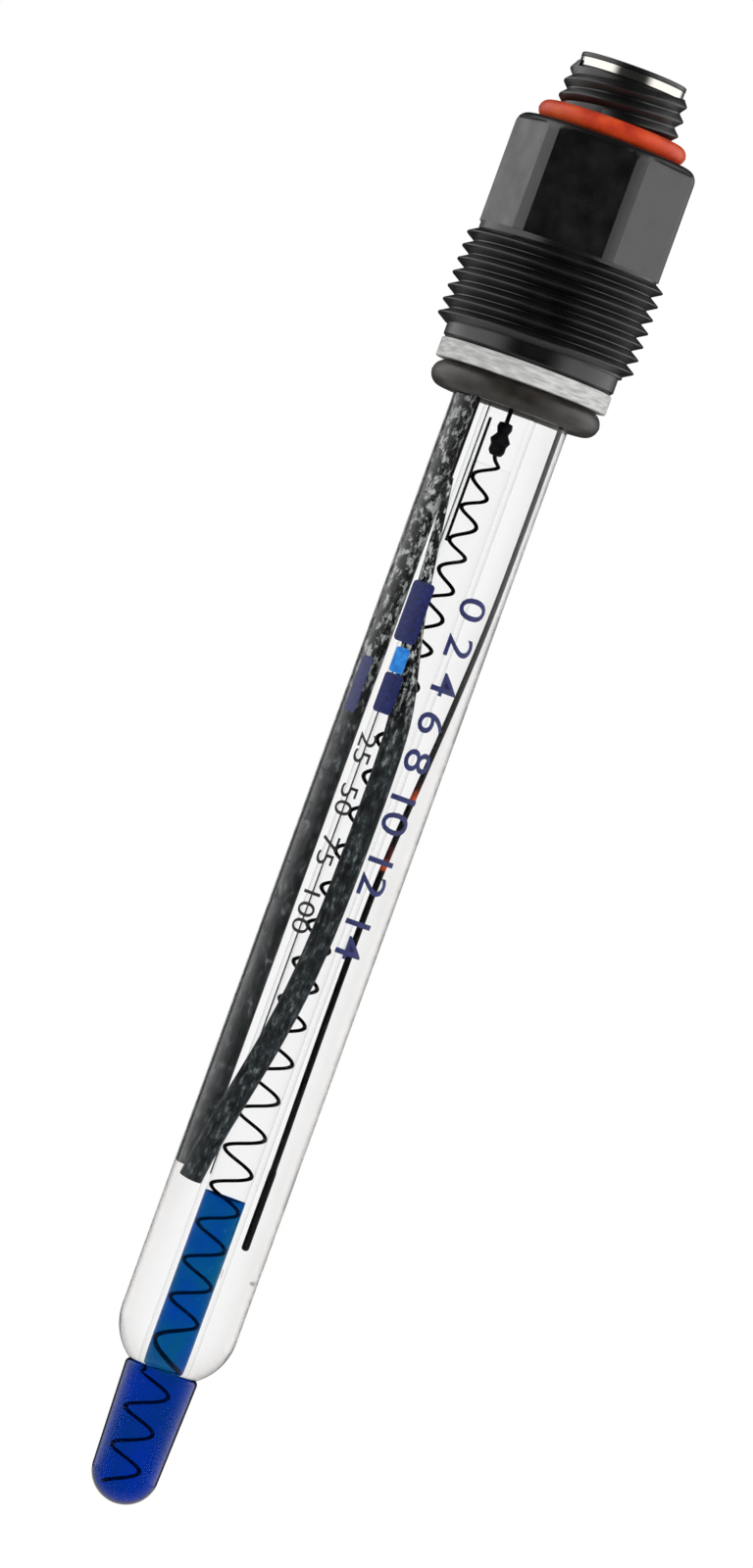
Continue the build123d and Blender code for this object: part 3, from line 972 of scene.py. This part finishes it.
plug_shape = lathe(
    [
        (0, buffer_high.z - meniscus_depth + skin_gap),
        *[(radius, height + skin_gap) for radius, height in hollow[1:]],
        (stem_fill, stem_gel_top),
        (stem_fill * 0.8, stem_gel_top - 0.15 * mm),
        (0, stem_gel_top - 0.25 * mm),
    ],
    steps=64,
    closed=False,
)
plug = new_piece("stem_gel_plug", mesh_from(plug_shape, "stem_gel_plug", 50), plug_gel)
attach(plug, "root")
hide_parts("stem_gel")

# Coiled lead
# Chlorided silver wire wound by hand in an open coil: tight under the crimp, wide in the lower stem,
# and a little slack and off centre in the bulb.
coil_low, coil_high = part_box("coil_lead")
crimp_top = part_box("lead_crimp")[1].z
wire_radius = 0.17 * mm
coil_steps = 24  # points in one turn
coil_wide = 1.33 * mm
coil_tight = 0.8 * mm
coil_slack = 0.35 * mm  # how far the turns in the bulb hang to the left
coil_lean = 0.25 * mm  # how far the tight turns lean to the left
coil_opens_low = 48 * mm
coil_opens_high = 76 * mm
hand_wound_from = 90 * mm
hand_pitch = 3.3 * mm
hand_unevenness = 0.55 * mm
mandrel_pitch = 3.93 * mm
coil_stub = 0.4 * mm  # how far the wire goes straight down before it turns
coil_start = 0.9 * mm
slack_height = 4 * mm  # over this height the turns in the bulb go slack
immersed_index = 1.12  # of a solid surface against the gel or buffer on it, so it mirrors little


def wire(name, points, radius, finish, radii=None, sides=4):
    """A round wire along a smooth line through control points, as a closed mesh on the electrode."""
    line = bpy.data.curves.new(name, "CURVE")
    line.dimensions = "3D"
    line.bevel_depth = radius
    line.bevel_resolution = sides
    line.resolution_u = 3
    line.use_fill_caps = True
    spline = line.splines.new("NURBS")
    spline.points.add(len(points) - 1)
    for index, point in enumerate(points):
        spline.points[index].co = (*point, 1.0)
        spline.points[index].radius = radii[index] if radii else 1.0
    spline.order_u = 3
    spline.use_endpoint_u = True
    drawn = bpy.data.objects.new(name, line)
    mesh = bpy.data.meshes.new_from_object(drawn)
    bpy.data.objects.remove(drawn)
    bpy.data.curves.remove(line)
    mesh.name = name
    mesh.materials.clear()
    mesh.shade_smooth()
    made = new_piece(name, mesh, finish)
    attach(made, "root")
    return made


def coil_radius(height):
    """The coil opens evenly from the tight turns to the full width."""
    opened = (coil_opens_high - height) / (coil_opens_high - coil_opens_low)
    opened = min(1.0, max(0.0, opened))
    return coil_tight + (coil_wide - coil_tight) * opened


def coil_pitch(height):
    """Hand winding is uneven near the crimp and even where it was wound on the mandrel."""
    if height > hand_wound_from:
        return hand_pitch + hand_unevenness * math.sin(height / mm * 1.3)
    return mandrel_pitch


def coil_line():
    """The wire's middle line, from the crimp down into the bulb."""
    points = [(0, 0, coil_high.z), (0.1 * mm, 0, coil_high.z - coil_stub)]
    height = coil_high.z - coil_start
    angle = 0.0
    while height > coil_low.z + wire_radius:
        radius = coil_radius(height)
        slack = min(1.0, max(0.0, (bulb_high.z - height) / slack_height))
        tight = (coil_wide - radius) / (coil_wide - coil_tight)
        middle = -coil_slack * slack - coil_lean * tight
        points.append((middle + radius * math.cos(angle), -radius * math.sin(angle), height))
        angle += math.tau / coil_steps
        height -= coil_pitch(height) / coil_steps
    return points


# Drawn silver wire under a chloride crust: dull and nearly black, a shade greyer in places.
silver, tree = material("silver_wire_drawn_chlorided")
where = add(tree, "ShaderNodeTexCoord").outputs["Object"]
crust = add(tree, "ShaderNodeTexNoise", {"Vector": where, "Scale": 1 / (0.4167 * mm), "Detail": 5.0})
tone = ramp(tree, crust, (0.35, "040405"), (0.62, "0d0d10"), (0.8, "1e1e22"))
rough = add(tree, "ShaderNodeBump", {"Height": crust, "Strength": 0.4, "Distance": 0.02 * mm})
chloride = add(
    tree,
    "ShaderNodeBsdfPrincipled",
    {"Base Color": tone, "Roughness": 0.6, "IOR": immersed_index, "Normal": rough},
)
add(tree, "ShaderNodeOutputMaterial", {"Surface": chloride})
coil = wire("silver_coil", coil_line(), wire_radius, silver, sides=3)
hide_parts("coil_lead")

# The twist's cut end, which hangs straight down beside the tight turns.
tail_x = -1.25 * mm
tail_y = 0.5 * mm
tail_low = 101 * mm
tail_points = [(tail_x, tail_y, height) for height in (crimp_top, (crimp_top + tail_low) / 2, tail_low)]
wire("silver_tail", tail_points, 0.12 * mm, silver)

# Crimp
# The coil and the signal wire are twisted together and crushed in a short silver ferrule, which the
# pliers leave lumpy and out of round.
crimp_low, crimp_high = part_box("lead_crimp")
crimp_radius = crimp_high.x
crimp_squeeze = 0.22  # how much the pliers flatten it, one way and the other in turn
crimp_narrowing = 0.85
crimp_lumps = ((0.8, 0.1), (0.94, 0.5), (0.7, 1.1), (0.95, 1.6), (0.75, 2.3), (0.9, 2.9))  # share, mm up
crimp_shape = lathe(
    [
        (0.25 * mm, crimp_low.z),
        *[(crimp_radius * share, crimp_low.z + up * mm) for share, up in crimp_lumps],
        (crimp_radius * 0.6, crimp_high.z - 0.1 * mm),
        (0.2 * mm, crimp_high.z),
    ],
    steps=32,
)
for vertex in crimp_shape.verts:
    squeeze = 1 + crimp_squeeze * math.sin(vertex.co.z / mm * 2.6)
    vertex.co.x *= squeeze * crimp_narrowing
    vertex.co.y /= squeeze
crimp = new_piece("crimped_ferrule", mesh_from(crimp_shape, "crimped_ferrule", 60), silver)
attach(crimp, "root")
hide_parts("lead_crimp")

# Cartridges
# Two sealed glass rods full of grey reference salt. One stands straight at the left wall, the other is
# bowed across the front of the stem and drawn out to a point, from which a fine wire goes up.
cartridge_low, cartridge_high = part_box("reference_cartridge")
cartridge_radius = (cartridge_high.x - cartridge_low.x) / 2
cartridge_x = (cartridge_high.x + cartridge_low.x) / 2
cartridge_y = (cartridge_high.y + cartridge_low.y) / 2
swept_radius = 1.05 * mm
swept_circle = 3.35 * mm
swept_foot = 33 * mm
swept_rise = 91 * mm
swept_way = (  # share of the rise, degrees round the stem from the front to the right
    (0.0, -71.0),
    (0.044, -58.0),
    (0.099, -37.0),
    (0.165, -17.0),
    (0.231, -3.0),
    (0.308, 4.0),
    (0.4, 6.0),
    (0.505, 6.0),
    (0.56, 0.0),
    (0.621, -20.0),
    (0.7, -37.0),
    (0.813, -56.0),
)
swept_radii = (1, 1, 1, 1, 1, 1, 1, 1, 1, 0.9, 0.55, 0.24)  # shares of its radius, drawn to a point

# Salt seen through the rod's glass: slate-grey mottle low down, black with pale specks higher up, and
# a faint clear gloss from the glass. The mottle is drawn out along the rod.
salt_changes_from = 78 * mm
salt_changes_to = 90 * mm
salt, tree = material("reference_salt_in_glass_slate_grey")
where = add(tree, "ShaderNodeTexCoord").outputs["Object"]
drawn_out = add(tree, "ShaderNodeMapping", {"Vector": where, "Scale": (1.0, 1.0, 0.4)})
mottle = add(
    tree,
    "ShaderNodeTexNoise",
    {"Vector": drawn_out, "Scale": 1 / (0.4545 * mm), "Detail": 6.0, "Roughness": 0.72},
)
base = ramp(
    tree,
    mottle,
    (0.4, "0b0d0e"),
    (0.5, "1b1f21"),
    (0.58, "2f3436"),
    (0.68, "6a6e6f"),
)
dark = ramp(tree, mottle, (0.42, "020303"), (0.51, "121516"), (0.59, "a4a8a7"))
height_on_rod = add(tree, "ShaderNodeSeparateXYZ", {"Vector": where}).outputs["Z"]
upper = add(
    tree,
    "ShaderNodeMapRange",
    {"Value": height_on_rod, "From Min": salt_changes_from, "From Max": salt_changes_to},
    interpolation_type="SMOOTHSTEP",
)
tone = add(tree, "ShaderNodeMix", {"Factor": upper, "A": base, "B": dark}, data_type="RGBA")
lumps = add(tree, "ShaderNodeBump", {"Height": mottle, "Strength": 0.3, "Distance": 0.05 * mm})
salt_surface = add(
    tree,
    "ShaderNodeBsdfPrincipled",
    {
        "Base Color": tone.outputs["Result"],
        "Roughness": 0.5,
        "IOR": immersed_index,
        "Coat Weight": 0.06,
        "Coat Roughness": 0.08,
        "Normal": lumps,
    },
)
add(tree, "ShaderNodeOutputMaterial", {"Surface": salt_surface})
rod_end = cartridge_radius * 0.3  # its foot is melted round this far in
rod_shape = lathe(
    [
        (0, cartridge_low.z),
        *arc((cartridge_radius - rod_end, cartridge_low.z + rod_end), rod_end, -90, 0, 4),
        (cartridge_radius, cartridge_high.z),
        (0, cartridge_high.z),
    ],
    steps=48,
    closed=False,
)
bmesh.ops.translate(rod_shape, verts=rod_shape.verts, vec=(cartridge_x, cartridge_y, 0))
straight_rod = new_piece("straight_cartridge", mesh_from(rod_shape, "straight_cartridge", 50), salt)
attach(straight_rod, "root")
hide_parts("reference_cartridge")


def round_shaft(circle, degrees, height):
    """A point at this distance from the axis, degrees from the front to the right."""
    turn = math.radians(degrees)
    return (circle * math.sin(turn), -circle * math.cos(turn), height)


swept_points = [
    round_shaft(swept_circle, degrees, swept_foot + share * swept_rise) for share, degrees in swept_way
]
bowed_rod = wire("bowed_cartridge", swept_points, swept_radius, salt, swept_radii, sides=8)
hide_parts("swept_cartridge")

fine_low, fine_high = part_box("swept_cartridge_lead")
fine_x = (fine_low.x + fine_high.x) / 2
fine_y = (fine_low.y + fine_high.y) / 2
fine_levels = (fine_low.z - 0.3 * mm, seat, fine_high.z)
fine_points = [(fine_x, fine_y, height) for height in fine_levels]
fine_wire = wire("bowed_cartridge_wire", fine_points, 0.13 * mm, silver)
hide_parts("swept_cartridge_lead")

# Reference wire
# Silver wire with a brown-black chloride crust, worn coppery in patches. It lies along the stem low
# down and along the shaft's wall higher up. Its foot is in a short black sleeve, shrunk on.
wire_foot = 28 * mm
wire_rise = 96 * mm
wire_way = (  # share of the rise, millimetres to the right
    (0.004, 2.65),
    (0.0885, 2.65),
    (0.18, 2.56),
    (0.292, 2.5),
    (0.36, 2.52),
    (0.417, 2.6),
    (0.5, 2.98),
    (0.56, 3.32),
    (0.625, 3.64),
    (0.708, 4.0),
    (0.8, 4.06),
    (0.896, 4.05),
    (1.08, 4.05),
)
# Brown chlorided silver: nearly black, dull, with copper-brown places on two lengths higher up.
brown_silver, tree = material("silver_wire_chlorided_brown")
where = add(tree, "ShaderNodeTexCoord").outputs["Object"]
height_on_wire = add(tree, "ShaderNodeSeparateXYZ", {"Vector": where}).outputs["Z"]
patchy = add(tree, "ShaderNodeTexNoise", {"Vector": where, "Scale": 1 / (1.111 * mm), "Detail": 4.0})
worn_part = {"Value": height_on_wire, "From Min": 60 * mm, "From Max": 84 * mm}
bare = ramp(
    tree,
    add(tree, "ShaderNodeMapRange", worn_part),
    (0.3, "000000"),
    (0.34, "ffffff"),
    (0.43, "ffffff"),
    (0.48, "000000"),
    (0.6, "000000"),
    (0.64, "ffffff"),
    (0.72, "ffffff"),
    (0.76, "000000"),
)
worn = add(tree, "ShaderNodeMath", {0: bare, 1: patchy}, operation="MULTIPLY")
tone = ramp(tree, worn, (0.3, "050404"), (0.45, "3a140c"), (0.6, "9a3a1c"))
wire_surface = add(
    tree,
    "ShaderNodeBsdfPrincipled",
    {"Base Color": tone, "Roughness": 0.55, "IOR": immersed_index},
)
add(tree, "ShaderNodeOutputMaterial", {"Surface": wire_surface})
wire_points = [(x * mm, 0, wire_foot + share * wire_rise) for share, x in wire_way]
wire_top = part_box("reference_wire")[1]
wire_points.append((wire_top.x - 0.4 * mm, 0, wire_top.z))
long_wire = wire("long_reference_wire", wire_points, 0.25 * mm, brown_silver)
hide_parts("reference_wire")

sleeve_foot_low, sleeve_foot_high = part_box("reference_sleeve")
foot_radius = 0.78 * (sleeve_foot_high.x - sleeve_foot_low.x) / 2  # shrunk tight on the wire
foot_x = (sleeve_foot_high.x + sleeve_foot_low.x) / 2
# Shrunk polyolefin tube: matt black with fine wrinkles.
shrunk, tree = material("polyolefin_sleeve_shrunk_black")
where = add(tree, "ShaderNodeTexCoord").outputs["Object"]
wrinkles = add(tree, "ShaderNodeTexNoise", {"Vector": where, "Scale": 1 / (0.5556 * mm)})
wrinkled = add(tree, "ShaderNodeBump", {"Height": wrinkles, "Strength": 0.3, "Distance": 0.03 * mm})
sleeve_surface = add(
    tree,
    "ShaderNodeBsdfPrincipled",
    {"Base Color": srgb("030303"), "Roughness": 0.6, "IOR": immersed_index, "Normal": wrinkled},
)
add(tree, "ShaderNodeOutputMaterial", {"Surface": sleeve_surface})
foot_round = arc((0, sleeve_foot_low.z + foot_radius), foot_radius, -72, 0, 5)
foot_shape = lathe(
    [
        (0, sleeve_foot_low.z),
        *foot_round,
        (foot_radius, sleeve_foot_high.z - 0.15 * mm),
        (foot_radius - 0.12 * mm, sleeve_foot_high.z),
        (0, sleeve_foot_high.z),
    ],
    steps=32,
    closed=False,
)
bmesh.ops.translate(foot_shape, verts=foot_shape.verts, vec=(foot_x, 0, 0))
foot_sleeve = new_piece("wire_foot_sleeve", mesh_from(foot_shape, "wire_foot_sleeve", 50), shrunk)
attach(foot_sleeve, "root")
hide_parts("reference_sleeve")

# Ceramic pin
# A white porous zirconia pin, sintered, melted into the shaft's wall at the back and ground flush.
# Through it the salt gel touches what the electrode hangs in.
pin_low, pin_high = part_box("ceramic_diaphragm")
pin_turn = math.radians(180 - 35)  # at the back, 35 degrees round to the right
pin_direction = Vector((math.sin(pin_turn), -math.cos(pin_turn), 0))
pin_radius = 0.5 * mm
# Sintered zirconia: chalk white and matt, full of pits, with painted shade that greys them inside. The real
# pores are too fine to show, so they are drawn coarser.
ceramic, tree = material("zirconia_sintered_porous_white")
where = add(tree, "ShaderNodeTexCoord").outputs["Object"]
pits_with_painted_shade = add(tree, "ShaderNodeTexNoise", {"Vector": where, "Scale": 1 / (0.16667 * mm), "Detail": 4.0})
# The grey in the pits is painted shade, darkest where the bump lies lowest.
tone = ramp(tree, pits_with_painted_shade, (0.3, "b9b4a6"), (0.55, "e8e5dc"))
pitted = add(tree, "ShaderNodeBump", {"Height": pits_with_painted_shade, "Strength": 0.5, "Distance": 0.03 * mm})
ceramic_surface = add(
    tree,
    "ShaderNodeBsdfPrincipled",
    {"Base Color": tone, "Roughness": 0.8, "Normal": pitted},
)
add(tree, "ShaderNodeOutputMaterial", {"Surface": ceramic_surface})
pin_shape = bmesh.new()
pin_middle = pin_direction * (shaft_radius + shaft_bore) / 2 + Vector((0, 0, (pin_low.z + pin_high.z) / 2))
bmesh.ops.create_cone(
    pin_shape,
    cap_ends=True,
    segments=32,
    radius1=pin_radius,
    radius2=pin_radius,
    depth=shaft_radius - shaft_bore + 0.04 * mm,
    matrix=Matrix.Translation(pin_middle) @ pin_direction.to_track_quat("Z", "Y").to_matrix().to_4x4(),
)
bmesh.ops.recalc_face_normals(pin_shape, faces=pin_shape.faces)
pin = new_piece("ceramic_pin", mesh_from(pin_shape, "ceramic_pin"), ceramic)
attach(pin, "root")
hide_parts("ceramic_diaphragm")

# Stopper, potting and signal wire
# These three are the solids themselves: the moulded grey silicone stopper that closes the shaft, the
# black epoxy cast round the glass in the head, and the wire from the crimp up to the socket.

# Moulded silicone: plain grey and dull, with a faint speckle from its filler.
stopper_rubber, tree = material("silicone_stopper_moulded_grey")
where = add(tree, "ShaderNodeTexCoord").outputs["Object"]
speckle = add(tree, "ShaderNodeTexNoise", {"Vector": where, "Scale": 1 / (1.111 * mm), "Detail": 4.0})
tone = ramp(tree, speckle, (0.35, "6b6b69"), (0.65, "83837f"))
stopper_surface = add(tree, "ShaderNodeBsdfPrincipled", {"Base Color": tone, "Roughness": 0.6})
add(tree, "ShaderNodeOutputMaterial", {"Surface": stopper_surface})
# Cast epoxy: smooth and glossy, black with faint clouds where it flowed.
epoxy, tree = material("epoxy_cast_black")
where = add(tree, "ShaderNodeTexCoord").outputs["Object"]
flow = add(tree, "ShaderNodeTexNoise", {"Vector": where, "Scale": 1 / (3.333 * mm), "Detail": 2.0})
tone = ramp(tree, flow, (0.35, "0e0e0f"), (0.65, "1a1a1b"))
epoxy_surface = add(tree, "ShaderNodeBsdfPrincipled", {"Base Color": tone, "Roughness": 0.15, "IOR": 1.55})
add(tree, "ShaderNodeOutputMaterial", {"Surface": epoxy_surface})
for node_name, finish in (
    ("tube_stopper", stopper_rubber),
    ("head_potting", epoxy),
    ("signal_wire", silver),
):
    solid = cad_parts[node_name]
    solid.data.materials.clear()
    solid.data.materials.append(finish)

# Print on the shaft
# Plain scale numbers and colour blocks in navy, black and bright blue, screen printed in ceramic ink
# on the outside of the glass and fired, so that they stand a hair proud of it.
print_lift = 0.012 * mm
print_thickness = 0.02 * mm
print_cut = 0.25 * mm  # the flat print is cut into strips this wide before it is bent


def fired_ink(name, thinning, *tones):
    """Fired ceramic ink: flat and half matt, a shade lighter where the coat came out thinner."""
    made, tree = material(name)
    where = add(tree, "ShaderNodeTexCoord").outputs["Object"]
    coat = add(tree, "ShaderNodeTexNoise", {"Vector": where, "Scale": 1 / thinning, "Detail": 4.0})
    ink = add(tree, "ShaderNodeBsdfPrincipled", {"Base Color": ramp(tree, coat, *tones), "Roughness": 0.5})
    add(tree, "ShaderNodeOutputMaterial", {"Surface": ink})
    return made


navy_tones = ((0.3, "0a0f38"), (0.6, "141f5c"), (0.8, "22357e"))
navy_ink = fired_ink("ceramic_ink_fired_navy", 0.4 * mm, *navy_tones)
black_ink = fired_ink("ceramic_ink_fired_black", 0.4 * mm, (0.3, "040508"), (0.75, "14161c"))
sky_ink = fired_ink("ceramic_ink_fired_bright_blue", 0.6667 * mm, (0.3, "0a5fb8"), (0.7, "2a8fe0"))


def wrapped(name, flat_mesh, start_height, start_degrees, *inks):
    """Lays a flat print on the glass: X of the print runs down the shaft, Y runs round it to the right."""
    shape = bmesh.new()
    shape.from_mesh(flat_mesh)
    bpy.data.meshes.remove(flat_mesh)
    tallest = max(vertex.co.y for vertex in shape.verts)
    lowest = min(vertex.co.y for vertex in shape.verts)
    cuts = max(2, int((tallest - lowest) / print_cut))
    for index in range(1, cuts):
        level = lowest + (tallest - lowest) * index / cuts
        bmesh.ops.bisect_plane(
            shape,
            geom=shape.verts[:] + shape.edges[:] + shape.faces[:],
            plane_co=(0, level, 0),
            plane_no=(0, 1, 0),
        )
    radius = shaft_radius + print_lift
    for vertex in shape.verts:
        turn = math.radians(start_degrees) + vertex.co.y / radius
        lift = radius + (print_thickness if vertex.co.z > print_thickness / 2 else 0.0)
        height = start_height - vertex.co.x
        vertex.co = (lift * math.sin(turn), -lift * math.cos(turn), height)
    bmesh.ops.recalc_face_normals(shape, faces=shape.faces)
    made = new_piece(name, mesh_from(shape, name, 40), *inks)
    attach(made, "root")
    return made


def numbers(name, text, size, length, start_height, start_degrees, ink, weight=0.0):
    """A line of plain numbers that reads downwards, stretched to this length."""
    letters = bpy.data.curves.new(name, "FONT")
    letters.body = text
    letters.size = size
    letters.offset = weight
    letters.extrude = print_thickness / 2
    letters.resolution_u = 4
    drawn = bpy.data.objects.new(name, letters)
    flat = bpy.data.meshes.new_from_object(drawn)
    bpy.data.objects.remove(drawn)
    bpy.data.curves.remove(letters)
    flat.materials.clear()
    reach = max(vertex.co.x for vertex in flat.vertices)
    flat.transform(Matrix.Diagonal((length / reach, 1, 1, 1)))
    flat.transform(Matrix.Translation((0, 0, print_thickness / 2)))
    return wrapped(name, flat, start_height, start_degrees, ink)


def block(name, length, width, start_height, start_degrees, ink):
    """A plain printed block with rounded corners."""
    shape = bmesh.new()
    bmesh.ops.create_cube(
        shape,
        size=1.0,
        matrix=Matrix.Translation((length / 2, width / 2, print_thickness / 2))
        @ Matrix.Diagonal((length, width, print_thickness, 1)),
    )
    upright_edges = [edge for edge in shape.edges if abs(edge.verts[0].co.z - edge.verts[1].co.z) > 1e-6]
    bmesh.ops.bevel(
        shape,
        geom=upright_edges,
        offset=width * 0.18,
        segments=4,
        profile=0.5,
        affect="EDGES",
        material=-1,
    )
    flat = bpy.data.meshes.new(name)
    shape.to_mesh(flat)
    shape.free()
    return wrapped(name, flat, start_height, start_degrees, ink)


# Size or length and width, then the height where it starts and its degrees round from the front.
numbers("scale_numbers", "0 2 4 6 8 10 12 14", 4.4 * mm, 38 * mm, 96.6 * mm, 18, navy_ink, 0.015 * mm)
numbers("small_numbers", "25  50  75  100", 2.6 * mm, 21 * mm, 80.5 * mm, -30, black_ink)
numbers("side_numbers", "0   7   14     1   2   3", 2.2 * mm, 21 * mm, 79.5 * mm, -68, black_ink)
block("upper_colour_block", 6.3 * mm, 2.4 * mm, 96.3 * mm, -33, navy_ink)
block("middle_colour_block", 2.6 * mm, 1.5 * mm, 89.5 * mm, -26, sky_ink)
block("lower_colour_block", 4.1 * mm, 2.0 * mm, 86.8 * mm, -28, navy_ink)
block("left_colour_block", 5.8 * mm, 2.0 * mm, 87.6 * mm, -66, navy_ink)
